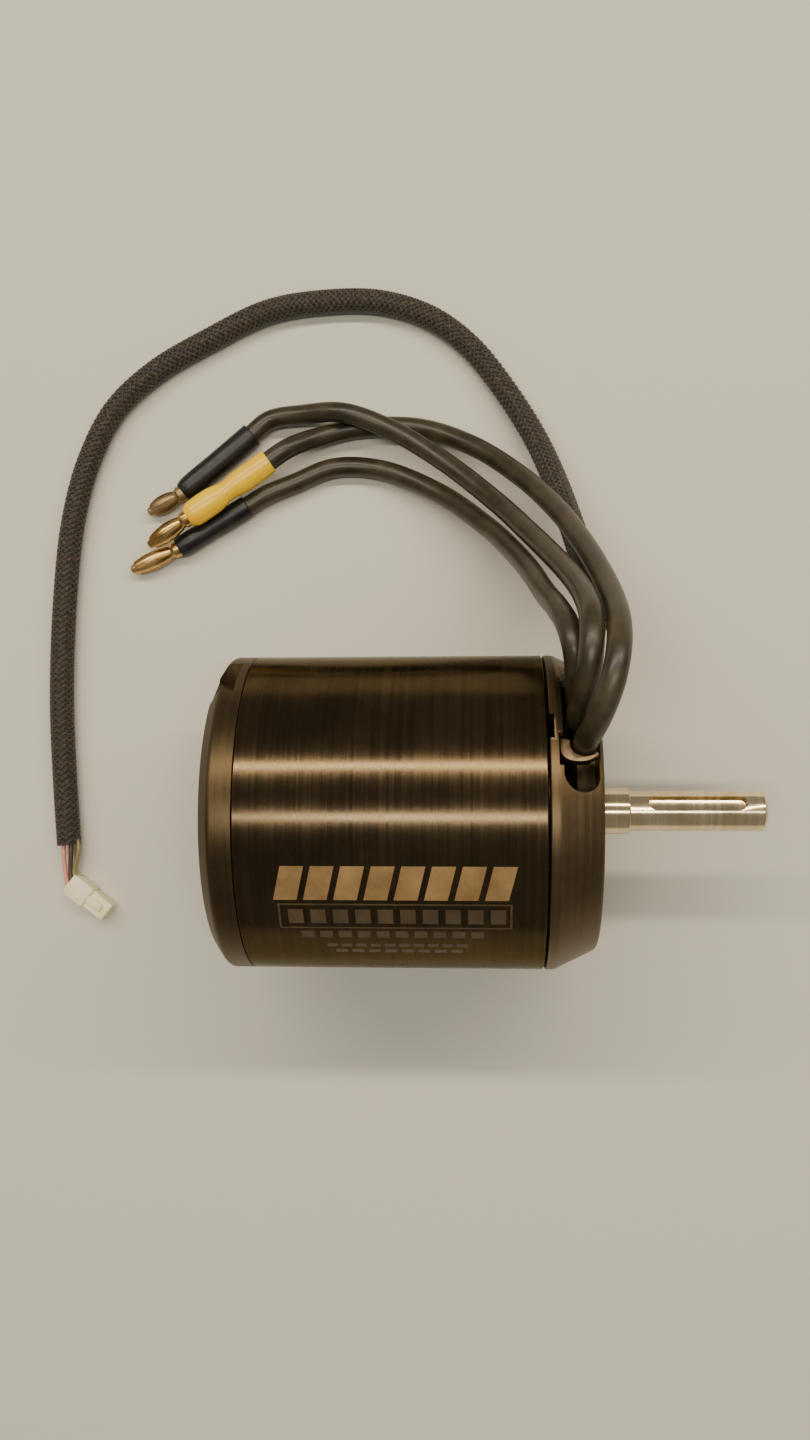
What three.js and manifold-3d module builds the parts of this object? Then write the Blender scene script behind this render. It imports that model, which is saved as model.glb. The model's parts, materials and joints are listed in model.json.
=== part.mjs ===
// Brushless outrunner motor, 63 mm can, 74 mm body, 8 mm keyed shaft, sensored.
// Millimetres, +Z up. The motor lies on its can with the shaft along +X.
import * as THREE from "three";
import { mergeVertices } from "three/addons/utils/BufferGeometryUtils.js";
import Module from "manifold-3d";

const wasm = await Module();
wasm.setup();

// ---- driving dimensions ----
const GAP = 0.3;
const FACETS = 48;
const CAN_RADIUS = 31.5;
const CAN_BORE = 28.6;
const AXIS_HEIGHT = CAN_RADIUS * Math.cos(Math.PI / FACETS);

const REAR_FACE = -54.5;
const REAR_SEAM = -47.8;
const CAN_FRONT = 9.4;
const CAP_REAR = 9.8;
const FRONT_FACE = 19.7;
const SHAFT_END = 54;
const CAP_FRONT_RADIUS = 27.7;
const PLATE_REAR = 15.5;

const SHAFT_RADIUS = 4;
const SPACER_RADIUS = 4.7;
const SPACER_END = 27;
const KEYWAY_START = 30.6;
const KEYWAY_END = 50;
const KEYWAY_WIDTH = 3;
const KEYWAY_DEPTH = 1.8;
const KEYWAY_ANGLE = 25;

const BEARING_RADIUS = 9.5;
const BEARING_WIDTH = 6;
const FRONT_BEARING = 10.6;
const REAR_BEARING = -37.7;
const TUBE_RADIUS = 12;
const TUBE_END = -38;

const STACK_REAR = -36;
const STACK_FRONT = 1;
const TOOTH_COUNT = 12;
const TOOTH_HALF = 2.4;
const STATOR_RADIUS = 25;
const YOKE_RADIUS = 14.5;
const MAGNET_COUNT = 14;
const MAGNET_INNER = 25.8;
const MAGNET_REAR = -37;
const MAGNET_FRONT = 2;

const SLOT_START = 12.2;
const SLOT_END = 18.9;
const SLOT_SOUTH = 13.4;
const SLOT_NORTH = 64.5;
const SLOT_FLOOR = 18.5;
const GUARD_ANGLE = 25.5;
const GUARD_X = 16.2;

const BOLT_BORE = 1.7;
const INNER_BOLTS = { radius: 15, angles: [35, 125, 215, 305] };
const OUTER_BOLTS = { radius: 22, angles: [80, 170, 260, 350] };

const HALL_DIAMETER = 5.4;
const PHASE_DIAMETER = 4.6;
const LEAD_DIAMETER = 1;

// ---- finishes ----
const finish = (color, roughness, metalness) =>
  new THREE.MeshStandardMaterial({ color, roughness, metalness });
const FINISH = {
  can: finish("#2a231b", 0.42, 0.35),
  bell: finish("#3a3022", 0.45, 0.5),
  mount: finish("#3b3123", 0.5, 0.45),
  bareEdge: finish("#a08a6c", 0.38, 0.85),
  steel: finish("#b5ab98", 0.28, 1),
  blackSteel: finish("#1c1a18", 0.4, 0.8),
  race: finish("#c3c0ba", 0.2, 1),
  lamination: finish("#2f5a3c", 0.55, 0.1),
  copper: finish("#a4592c", 0.35, 0.9),
  magnet: finish("#b9bcc0", 0.25, 1),
  board: finish("#1f5a34", 0.5, 0),
  sensor: finish("#141414", 0.5, 0),
  silicone: finish("#221f1a", 0.55, 0),
  braid: finish("#2b261d", 0.85, 0),
  shrink: finish("#191a22", 0.45, 0),
  yellowShrink: finish("#f2dc3f", 0.4, 0),
  gold: finish("#c2975b", 0.25, 1),
  connector: finish("#f2ead2", 0.45, 0),
};
const LEAD_COLOURS = ["#d98f80", "#b8654f", "#3a3428", "#b39a68", "#7d7a4c"];

// ---- solid helpers ----
const solidOf = (geometry) => {
  const bare = geometry.clone();
  bare.deleteAttribute("normal");
  bare.deleteAttribute("uv");
  const merged = mergeVertices(bare, 1e-4);
  return new wasm.Manifold(
    new wasm.Mesh({
      numProp: 3,
      vertProperties: merged.attributes.position.array,
      triVerts: new Uint32Array(merged.index.array),
    }),
  );
};

const geometryOf = (solid) => {
  const mesh = solid.getMesh();
  const geometry = new THREE.BufferGeometry();
  geometry.setAttribute("position", new THREE.BufferAttribute(mesh.vertProperties, 3));
  geometry.setIndex(new THREE.BufferAttribute(mesh.triVerts, 1));
  return geometry;
};

const cut = (body, tools) => {
  const joined = tools.map(solidOf).reduce((all, tool) => all.add(tool));
  return geometryOf(solidOf(body).subtract(joined));
};

const group = new THREE.Group();
const add = (name, geometry, material) => {
  const bare = geometry.index ? geometry.toNonIndexed() : geometry;
  bare.computeVertexNormals();
  const mesh = new THREE.Mesh(bare, material);
  mesh.name = name;
  group.add(mesh);
};

// ---- shape helpers, in the motor's own frame with its axis on X ----
const radians = (degrees) => THREE.MathUtils.degToRad(degrees);

// Profile points are [radius, x], run anticlockwise round the section.
const revolve = (profile, facets = FACETS) => {
  const closed = [...profile, profile[0]].map(([r, x]) => new THREE.Vector2(r, x));
  return new THREE.LatheGeometry(closed, facets, Math.PI / facets).rotateZ(-Math.PI / 2);
};

// Extrudes a shape drawn as (y, z) from x = start to x = end.
const extrudeX = (shape, start, end, curveSegments = 4) =>
  new THREE.ExtrudeGeometry(shape, { depth: end - start, bevelEnabled: false, curveSegments })
    .applyMatrix4(new THREE.Matrix4().set(0, 0, 1, start, 1, 0, 0, 0, 0, 1, 0, 0, 0, 0, 0, 1));

// Turns a piece made at the top of the motor to an angle, positive towards +Y.
const turn = (geometry, degrees) => geometry.rotateX(-radians(degrees));
const lift = (geometry) => geometry.translate(0, 0, AXIS_HEIGHT);

const polar = (r, degrees) => [r * Math.sin(radians(degrees)), r * Math.cos(radians(degrees))];

const arc = (r, from, to, steps) =>
  Array.from({ length: steps + 1 }, (_, i) => polar(r, from + ((to - from) * i) / steps));

const outline = (points) => new THREE.Shape(points.map(([a, b]) => new THREE.Vector2(a, b)));

const sector = (inner, outer, from, to, steps) =>
  outline([...arc(outer, from, to, steps), ...arc(inner, to, from, steps)]);

const pin = (radius, height, sides = 16) => new THREE.CylinderGeometry(radius, radius, height, sides);

// A pin standing radially outwards at x, between two radii.
const radialPin = (radius, x, inner, outer, degrees, sides = 16) =>
  turn(
    pin(radius, outer - inner, sides)
      .rotateX(Math.PI / 2)
      .translate(x, 0, (inner + outer) / 2),
    degrees,
  );

// A pin along X at a bolt circle position.
const axialPin = (radius, start, end, circle, degrees, sides = 16) =>
  turn(
    pin(radius, end - start, sides)
      .rotateZ(Math.PI / 2)
      .translate((start + end) / 2, 0, circle),
    degrees,
  );

const block = (x0, x1, width, z0, z1) =>
  new THREE.BoxGeometry(x1 - x0, width, z1 - z0).translate((x0 + x1) / 2, 0, (z0 + z1) / 2);

// ---- rotor: can ----
const canProfile = [
  [CAN_BORE, REAR_SEAM + GAP],
  [CAN_RADIUS, REAR_SEAM + GAP],
  [CAN_RADIUS, CAN_FRONT - 0.4],
  [CAN_RADIUS - 0.4, CAN_FRONT],
  [CAN_BORE, CAN_FRONT],
];
add("rotor_can", lift(revolve(canProfile)), FINISH.can);

// ---- rotor: rear bell with hub, face windows, rim notches and grub screw holes ----
const HUB_RADIUS = 9.5;
const HUB_END = -39;
const GRUB_X = -43.5;
const GRUB_ANGLES = [0, 90];
const bellProfile = [
  [SHAFT_RADIUS + GAP, REAR_FACE],
  [10.5, REAR_FACE],
  [11.5, REAR_FACE + 0.8],
  [24, REAR_FACE + 0.8],
  [25, REAR_FACE],
  [27.7, REAR_FACE],
  [28.4, REAR_FACE + 0.3],
  [CAN_RADIUS - 0.4, REAR_FACE + 2.2],
  [CAN_RADIUS, REAR_FACE + 2.8],
  [CAN_RADIUS, REAR_SEAM],
  [CAN_BORE - GAP, REAR_SEAM],
  [CAN_BORE - GAP, REAR_SEAM + 2.7],
  [26, REAR_SEAM + 2.7],
  [26, REAR_FACE + 5.2],
  [24.8, REAR_FACE + 4.2],
  [HUB_RADIUS, REAR_FACE + 4.2],
  [HUB_RADIUS, HUB_END],
  [SHAFT_RADIUS + GAP, HUB_END],
];
const bellWindows = [0, 60, 120, 180, 240, 300].map((angle) =>
  turn(extrudeX(sector(13.5, 22.5, -20, 20, 6), REAR_FACE - 1, REAR_FACE + 6), angle + 30),
);
const rimNotches = [57, 237].map((angle) =>
  turn(block(REAR_FACE - 1, REAR_FACE + 5.2, 11, 26.8, 34), angle),
);
const grubHoles = GRUB_ANGLES.map((angle) => radialPin(2.3, GRUB_X, 1, 12, angle));
const bell = cut(revolve(bellProfile), [...bellWindows, ...rimNotches, ...grubHoles]);
add("rear_bell", lift(bell), FINISH.bell);

// ---- rotor: grub screws with a hexagon socket ----
GRUB_ANGLES.forEach((angle, i) => {
  const screw = radialPin(2, GRUB_X, SHAFT_RADIUS + GAP, 9, angle);
  const socket = radialPin(1.1, GRUB_X, 7.2, 12, angle, 6);
  add(`grub_screw_${i + 1}`, lift(cut(screw, [socket])), FINISH.blackSteel);
});

// ---- rotor: shaft with keyway, and the spacer sleeve in front of the bearing ----
const shaftBody = new THREE.LatheGeometry(
  [
    [0, REAR_FACE + 0.5],
    [SHAFT_RADIUS - 0.5, REAR_FACE + 0.5],
    [SHAFT_RADIUS, REAR_FACE + 1],
    [SHAFT_RADIUS, SHAFT_END - 0.6],
    [SHAFT_RADIUS - 0.6, SHAFT_END],
    [0, SHAFT_END],
  ].map(([r, x]) => new THREE.Vector2(r, x)),
  32,
).rotateZ(-Math.PI / 2);
const keyFloor = SHAFT_RADIUS - KEYWAY_DEPTH;
const keyHalf = KEYWAY_WIDTH / 2;
const keyTools = [
  block(KEYWAY_START + keyHalf, KEYWAY_END - keyHalf, KEYWAY_WIDTH, keyFloor, 6),
  pin(keyHalf, 6 - keyFloor).rotateX(Math.PI / 2)
    .translate(KEYWAY_START + keyHalf, 0, (6 + keyFloor) / 2),
  pin(keyHalf, 6 - keyFloor).rotateX(Math.PI / 2)
    .translate(KEYWAY_END - keyHalf, 0, (6 + keyFloor) / 2),
];
add("shaft", lift(turn(cut(shaftBody, keyTools), KEYWAY_ANGLE)), FINISH.steel);

const ring = (inner, outer, start, end, facets) =>
  revolve([[outer, start], [outer, end], [inner, end], [inner, start]], facets);
add(
  "shaft_spacer",
  lift(ring(SHAFT_RADIUS + GAP, SPACER_RADIUS, FRONT_BEARING + BEARING_WIDTH + GAP, SPACER_END, 32)),
  FINISH.steel,
);

// ---- rotor: magnets bonded round the inside of the can ----
const magnetShape = sector(MAGNET_INNER, CAN_BORE - GAP, -11.7, 11.7, 4);
for (let i = 0; i < MAGNET_COUNT; i += 1) {
  const number = String(i + 1).padStart(2, "0");
  const magnet = turn(extrudeX(magnetShape, MAGNET_REAR, MAGNET_FRONT), (360 * i) / MAGNET_COUNT);
  add(`magnet_${number}`, lift(magnet), FINISH.magnet);
}

// ---- stator: front mount, a conical cap with the bearing tube in one piece ----
const LIP_RADIUS = 7;
const mountProfile = [
  [LIP_RADIUS, FRONT_BEARING + BEARING_WIDTH + GAP],
  [BEARING_RADIUS + GAP, FRONT_BEARING + BEARING_WIDTH + GAP],
  [BEARING_RADIUS + GAP, FRONT_BEARING - GAP],
  [BEARING_RADIUS - 1.3, FRONT_BEARING - GAP],
  [BEARING_RADIUS - 1.3, REAR_BEARING + BEARING_WIDTH + GAP],
  [BEARING_RADIUS + GAP, REAR_BEARING + BEARING_WIDTH + GAP],
  [BEARING_RADIUS + GAP, TUBE_END],
  [TUBE_RADIUS, TUBE_END],
  [TUBE_RADIUS, PLATE_REAR - 1],
  [TUBE_RADIUS + 1, PLATE_REAR],
  [26.8, PLATE_REAR],
  [27.4, PLATE_REAR - 0.6],
  [CAN_BORE, CAP_REAR],
  [CAN_RADIUS - 0.3, CAP_REAR],
  [CAN_RADIUS, CAP_REAR + 0.3],
  [CAN_RADIUS, CAP_REAR + 1.7],
  [CAP_FRONT_RADIUS, FRONT_FACE - 0.5],
  [CAP_FRONT_RADIUS - 0.5, FRONT_FACE],
  [LIP_RADIUS, FRONT_FACE],
];
const slotMiddle = (SLOT_START + SLOT_END) / 2;
const boltHoles = [INNER_BOLTS, OUTER_BOLTS].flatMap(({ radius, angles }) =>
  angles.map((angle) => axialPin(BOLT_BORE, PLATE_REAR - 1, FRONT_FACE + 1, radius, angle)),
);
const coolingWindows = [125, 215, 305].map((angle) =>
  turn(extrudeX(sector(18.2, 24.2, -22, 22, 6), PLATE_REAR - 1, FRONT_FACE + 1), angle),
);
const mountTools = [
  extrudeX(sector(SLOT_FLOOR, 34, SLOT_SOUTH, SLOT_NORTH, 8), SLOT_START, SLOT_END),
  radialPin((SLOT_END - SLOT_START) / 2, slotMiddle, SLOT_FLOOR, 34, SLOT_SOUTH, 24),
  turn(block(11.4, 19, 6.4, 27.2, 34), GUARD_ANGLE - 4),
  turn(block(CAP_REAR - 1, CAP_REAR + 0.9, 5.2, 27, 34), 30),
  ...boltHoles,
  ...coolingWindows,
];
add("front_mount", lift(cut(revolve(mountProfile), mountTools)), FINISH.mount);

// ---- stator: bare metal guard in the cable slot, open towards the cables ----
const guardShape = new THREE.Shape();
guardShape.moveTo(-4.5, 1.1);
guardShape.lineTo(-4.5, -1.2);
guardShape.quadraticCurveTo(-4.4, -3.8, -0.8, -3.8);
guardShape.lineTo(1, -3.5);
guardShape.lineTo(2.53, -2.12);
guardShape.absarc(0, 0, 2.6, radians(-40), radians(-195), true);
const guard = new THREE.ExtrudeGeometry(guardShape, { depth: 1.7, bevelEnabled: false, curveSegments: 10 })
  .translate(GUARD_X, 0, 27.5);
add("cable_guard", lift(turn(guard, GUARD_ANGLE)), FINISH.bareEdge);

// ---- stator: laminated core with twelve teeth ----
const corePoints = [];
for (let i = 0; i < TOOTH_COUNT; i += 1) {
  const middle = (360 * i) / TOOTH_COUNT;
  const spread = (r) => (Math.asin(TOOTH_HALF / r) * 180) / Math.PI;
  corePoints.push(polar(YOKE_RADIUS, middle - spread(YOKE_RADIUS)));
  corePoints.push(polar(22.9, middle - spread(22.9)));
  corePoints.push(polar(23.9, middle - 12.6));
  corePoints.push(...arc(STATOR_RADIUS, middle - 12.6, middle + 12.6, 4));
  corePoints.push(polar(23.9, middle + 12.6));
  corePoints.push(polar(22.9, middle + spread(22.9)));
  corePoints.push(polar(YOKE_RADIUS, middle + spread(YOKE_RADIUS)));
}
const coreShape = outline(corePoints);
const coreBore = arc(TUBE_RADIUS + GAP, 352.5, 0, 47).map(([a, b]) => new THREE.Vector2(a, b));
coreShape.holes.push(new THREE.Path(coreBore));
add("stator_core", lift(extrudeX(coreShape, STACK_REAR, STACK_FRONT)), FINISH.lamination);

// ---- stator: one wound coil round every tooth ----
const COIL_INNER = YOKE_RADIUS + 0.5;
const COIL_OUTER = 22.5;
const COIL_THICKNESS = 3;
const roundedLoop = (path, halfWidth, halfLength, corner) => {
  const corners = [[1, 1, 0], [-1, 1, 90], [-1, -1, 180], [1, -1, 270]];
  corners.forEach(([a, b, from]) => {
    path.absarc(a * (halfWidth - corner), b * (halfLength - corner), corner,
      radians(from), radians(from + 90), false);
  });
  path.closePath();
  return path;
};
const innerWidth = TOOTH_HALF + GAP;
const innerLength = (STACK_FRONT - STACK_REAR) / 2 + GAP;
const coilShape = roundedLoop(
  new THREE.Shape(), innerWidth + COIL_THICKNESS, innerLength + COIL_THICKNESS, 2.4,
);
coilShape.holes.push(roundedLoop(new THREE.Path(), innerWidth, innerLength, 0.5));
const coilBlank = new THREE.ExtrudeGeometry(coilShape,
  { depth: COIL_OUTER - COIL_INNER, bevelEnabled: false, curveSegments: 3 })
  .rotateZ(Math.PI / 2)
  .translate((STACK_FRONT + STACK_REAR) / 2, 0, COIL_INNER);
const wedge = extrudeX(outline([[0, 2], polar(34, -14.4), polar(34, 14.4)]), -60, 30);
const coil = solidOf(coilBlank).intersect(solidOf(wedge));
for (let i = 0; i < TOOTH_COUNT; i += 1) {
  const number = String(i + 1).padStart(2, "0");
  add(`coil_${number}`, lift(turn(geometryOf(coil), (360 * i) / TOOTH_COUNT)), FINISH.copper);
}

// ---- stator: Hall sensor board and its three sensors ----
const BOARD_REAR = 8.1;
add("hall_board", lift(extrudeX(sector(13, 24.3, 20, 340, 32), BOARD_REAR, BOARD_REAR + 1)), FINISH.board);
[75, 135, 195].forEach((angle, i) => {
  const sensor = turn(block(BOARD_REAR - GAP - 1.5, BOARD_REAR - GAP, 4, 21, 24.2), angle);
  add(`hall_sensor_${i + 1}`, lift(sensor), FINISH.sensor);
});

// ---- bearings: shielded outer ring with the mount, inner ring with the shaft ----
const bearing = (name, start) => {
  const end = start + BEARING_WIDTH;
  const outer = [
    [BEARING_RADIUS, start],
    [BEARING_RADIUS, end],
    [6.9, end],
    [6.9, end - 0.5],
    [8.3, end - 0.5],
    [8.3, start + 0.5],
    [6.9, start + 0.5],
    [6.9, start],
  ];
  add(`${name}_outer`, lift(revolve(outer, 24)), FINISH.race);
  add(`${name}_inner`, lift(ring(SHAFT_RADIUS + GAP, 6.5, start, end, 24)), FINISH.race);
};
bearing("front_bearing", FRONT_BEARING);
bearing("rear_bearing", REAR_BEARING);

// ---- cables: routes in mm, from the slot over the side and down to the ground ----
const circle = (radius, sides) =>
  outline(Array.from({ length: sides }, (_, i) => polar(radius, (360 * i) / sides)));

const tube = (points, diameter, sides, steps) => {
  const curve = new THREE.CatmullRomCurve3(points.map((p) => new THREE.Vector3(...p)), false, "centripetal");
  return new THREE.ExtrudeGeometry(circle(diameter / 2, sides),
    { extrudePath: curve, steps, bevelEnabled: false });
};

const HALL_ROUTE = [
  [15.4, 23.8, 46.5], [15.8, 26.5, 48.3], [16.8, 29.9, 50.2], [18.2, 34, 50], [19.3, 38, 47],
  [19.8, 42, 42], [19.5, 46.6, 35.4], [18.5, 53.2, 27.2], [16.7, 62.6, 18.6], [14, 73.2, 11.8],
  [9.8, 84.6, 6.8], [3.2, 96.5, 4.2], [-5, 107.5, 3.1], [-14, 114.5, 3], [-25.5, 118.5, 3],
  [-38, 119, 3], [-52, 117, 3], [-66, 110.5, 3], [-79, 103, 3], [-88.5, 94, 3], [-94.5, 82, 3],
  [-98, 68, 3], [-99.7, 49, 3], [-100, 25.5, 3], [-98.9, 7, 3], [-97.6, -8.2, 3],
];
add("hall_sleeve", tube(HALL_ROUTE, HALL_DIAMETER, 10, 48), FINISH.braid);

// A turned piece whose own axis runs from one point towards another. Profile is [radius, along].
const turned = (profile, from, to, facets) => {
  const direction = new THREE.Vector3(...to).sub(new THREE.Vector3(...from)).normalize();
  const upright = new THREE.Vector3(0, 1, 0);
  const lathe = new THREE.LatheGeometry(profile.map(([r, a]) => new THREE.Vector2(r, a)), facets);
  return lathe
    .applyQuaternion(new THREE.Quaternion().setFromUnitVectors(upright, direction))
    .translate(...from);
};

// ---- phase wires, heat-shrink sleeves and gold bullet plugs ----
// Each wire ends square to its sleeve, a gap short of it.
const PHASES = [
  {
    route: [
      [15.2, 16.7, 53.9], [15.5, 18.8, 56.8], [16.2, 22, 60.2], [16.8, 26.2, 62.8], [17.2, 30.8, 63.1],
      [17.3, 35.2, 60.9], [16.9, 39, 56.2], [15.7, 43.6, 48.6], [12.6, 50.2, 38], [7, 59, 26.2],
      [1.2, 66.8, 17.6], [-11.5, 78.8, 10.6], [-24, 87, 8.3], [-34, 90.8, 7.7], [-43.5, 91.6, 4.4],
    ],
    sleeve: [-55.7, 87.5, 3.1],
    plug: [-72, 73.9, 3.1],
    tip: [-80.3, 69.4, 2.4],
    radii: [2.8, 2.8, 2.9],
    material: FINISH.shrink,
  },
  {
    route: [
      [16.2, 11.4, 55.3], [16.4, 13, 58.7], [17.5, 15.2, 62.2], [18.9, 18.5, 65.4], [20.4, 23, 67.2],
      [21.5, 28.2, 66.4], [22.1, 33.2, 62.6], [22, 38.4, 56], [20.8, 45.2, 46.8], [18.1, 53.8, 36],
      [13.6, 63.4, 25.2], [5.8, 74, 14.4], [-4.8, 83, 7], [-17, 88.3, 3.1], [-31.5, 88.5, 2.8],
      [-41, 85.8, 4.6],
    ],
    sleeve: [-51, 79.9, 7.2],
    plug: [-69.8, 67, 7.2],
    tip: [-79.2, 61, 5.6],
    radii: [2.8, 2.4, 3],
    material: FINISH.yellowShrink,
  },
  {
    route: [
      [15.4, 20.4, 50.6], [15.4, 22.8, 53], [15.1, 26, 55.8], [14.5, 30, 57.4], [13.5, 34.2, 55.8],
      [12, 38.3, 50.4], [10.1, 42.6, 42.4], [7.5, 48.8, 33.6], [4, 55.2, 24.2], [-0.8, 61.8, 15.8],
      [-12, 72, 6.8], [-25.5, 78.6, 3], [-36.5, 79.4, 2.5], [-46, 75.8, 2.5],
    ],
    sleeve: [-56.6, 70.6, 2.8],
    plug: [-72.9, 60.8, 2.8],
    tip: [-84.1, 55.8, 2.4],
    radii: [2.6, 2.4, 2.6],
    material: FINISH.shrink,
  },
];
PHASES.forEach(({ route, sleeve, plug, tip, radii, material }, i) => {
  const start = new THREE.Vector3(...sleeve);
  const run = new THREE.Vector3(...plug).sub(start);
  const length = run.length() - 2 * GAP;
  const before = (distance) => start.clone().addScaledVector(run.clone().normalize(), -distance).toArray();
  const wire = tube([...route, before(5), before(0.6)], PHASE_DIAMETER, 8, 34);
  add(`phase_wire_${i + 1}`, wire, FINISH.silicone);

  const [head, neck, tail] = radii;
  const sleeveProfile = [
    [0, 0], [head - 0.3, 0], [head, 0.4], [head, length * 0.42], [neck, length * 0.52],
    [tail, length * 0.64], [tail, length - 1.6], [tail - 0.8, length], [0, length],
  ];
  add(`shrink_sleeve_${i + 1}`, turned(sleeveProfile, sleeve, plug, 16), material);

  const reach = new THREE.Vector3(...plug).distanceTo(new THREE.Vector3(...tip));
  const plugProfile = [
    [0, 0], [2.1, 0], [2.1, 1.4], [1.6, 1.7], [1.6, 2.2], [2.1, 3.2], [2.2, reach * 0.55],
    [2, reach - 1.6], [1.2, reach - 0.3], [0.8, reach], [0, reach],
  ];
  add(`bullet_plug_${i + 1}`, turned(plugProfile, plug, tip, 16), FINISH.gold);
});

// ---- Hall cable end: five leads into the end of a white two-row housing ----
const LEAD_STARTS = [
  [-98.6, -8.9, 4], [-97.7, -8.9, 1.9], [-96.8, -8.9, 4], [-95.9, -8.9, 1.9], [-95, -8.9, 4],
];
// Where each lead meets the housing, across it and up from its middle.
const LEAD_SEATS = [[-1.7, 0.65], [-1, -0.65], [-0.3, 0.65], [0.4, -0.65], [1.1, 0.65]];
const CONNECTOR_CENTRE = [-92.4, -20.5, 2.5];
const CONNECTOR_TURN = -38;
const HOUSING = { end: 5.2, barrelEnd: -0.4, width: 5, noseWidth: 4.4, bottom: -2.3, top: 2.3, noseTop: 1.5 };
const barrel = block(-HOUSING.end, HOUSING.barrelEnd, HOUSING.width, HOUSING.bottom, HOUSING.top);
const nose = block(HOUSING.barrelEnd - 1, HOUSING.end, HOUSING.noseWidth, HOUSING.bottom, HOUSING.noseTop);
const latch = block(HOUSING.barrelEnd - 1, 3.6, 1.8, HOUSING.noseTop - 1, HOUSING.top - 0.3);
const leadMouth = block(-HOUSING.end - 1, -HOUSING.end + 1.2, 4.4, -1.4, 1.4);
const plugMouth = block(HOUSING.end - 1.4, HOUSING.end + 1, 3.4, -1.7, 0.9);
const housing = geometryOf(solidOf(barrel).add(solidOf(nose)).add(solidOf(latch)));
const placeHousing = (geometry) =>
  geometry.rotateZ(radians(CONNECTOR_TURN)).translate(...CONNECTOR_CENTRE);
add("hall_connector", placeHousing(cut(housing, [leadMouth, plugMouth])), FINISH.connector);

const atHousing = (x, y, z) =>
  new THREE.Vector3(x, y, z)
    .applyAxisAngle(new THREE.Vector3(0, 0, 1), radians(CONNECTOR_TURN))
    .add(new THREE.Vector3(...CONNECTOR_CENTRE))
    .toArray();
LEAD_STARTS.forEach((start, i) => {
  const [across, up] = LEAD_SEATS[i];
  const approach = atHousing(-HOUSING.end - 1.6, across + 1.4, up);
  const seat = atHousing(-HOUSING.end + 0.4, across, up);
  const lead = tube([start, approach, seat], LEAD_DIAMETER, 8, 8);
  add(`hall_lead_${i + 1}`, lead, finish(LEAD_COLOURS[i], 0.45, 0));
});

export default group;
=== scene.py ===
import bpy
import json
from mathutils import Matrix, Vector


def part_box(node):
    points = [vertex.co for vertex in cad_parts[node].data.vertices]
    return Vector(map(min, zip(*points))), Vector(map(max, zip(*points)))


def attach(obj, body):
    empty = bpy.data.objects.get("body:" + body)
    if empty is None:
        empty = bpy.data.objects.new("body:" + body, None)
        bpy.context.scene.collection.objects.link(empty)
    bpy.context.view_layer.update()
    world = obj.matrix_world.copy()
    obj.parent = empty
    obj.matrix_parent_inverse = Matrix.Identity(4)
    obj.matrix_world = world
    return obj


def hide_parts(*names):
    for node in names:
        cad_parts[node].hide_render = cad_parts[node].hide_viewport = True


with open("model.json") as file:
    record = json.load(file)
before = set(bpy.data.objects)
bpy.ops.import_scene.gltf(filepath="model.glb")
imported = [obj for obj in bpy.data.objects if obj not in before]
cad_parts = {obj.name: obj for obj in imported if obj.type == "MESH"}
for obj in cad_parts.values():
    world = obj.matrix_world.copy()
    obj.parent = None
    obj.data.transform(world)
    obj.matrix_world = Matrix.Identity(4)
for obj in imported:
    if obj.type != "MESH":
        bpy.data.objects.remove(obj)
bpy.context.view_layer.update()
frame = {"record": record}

import json
import math

import bmesh
import bpy
import numpy as np
from mathutils import Matrix, Vector

MM = 0.001
TAU = 2 * math.pi


# ---------------------------------------------------------------- places taken from the frame, in mm
def low(node):
    return [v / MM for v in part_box(node)[0]]


def high(node):
    return [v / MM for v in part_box(node)[1]]


AXIS_Z = frame["record"]["behaviour"]["joints"][0]["pos_m"][2] / MM
BODY_R = AXIS_Z
REAR_FACE = low("rear_bell")[0]
CAN_REAR, CAN_FRONT = low("rotor_can")[0], high("rotor_can")[0]
REAR_SEAM, CAP_REAR = CAN_REAR - 0.14, CAN_FRONT + 0.4
FRONT_FACE = high("front_mount")[0]
TUBE_END = low("front_mount")[0]
SHAFT_END = high("shaft")[0]
SHAFT_R = (high("shaft")[2] - low("shaft")[2]) / 2
SPACER_REAR, SPACER_END = low("shaft_spacer")[0], high("shaft_spacer")[0]
SPACER_R = (high("shaft_spacer")[2] - low("shaft_spacer")[2]) / 2
STACK_REAR, STACK_FRONT = low("stator_core")[0], high("stator_core")[0]

# ---------------------------------------------------------------- camera
cam_data = bpy.data.cameras.new("camera")
cam_data.sensor_width = 36
cam_data.lens = 30.37
cam = bpy.data.objects.new("camera", cam_data)
bpy.context.scene.collection.objects.link(cam)
lean_x, lean_y = 0.0628, 0.0665
turn = Matrix.Rotation(lean_x, 3, "Y") @ Matrix.Rotation(lean_y, 3, "X") @ Matrix.Rotation(0.0007, 3, "Z")
cam.matrix_world = Matrix.Translation(Vector((-2.548, 2.0, 279.45)) * MM) @ turn.to_4x4()
cam_data.clip_start = 0.01
cam_data.clip_end = 20
bpy.context.scene.camera = cam


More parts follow.
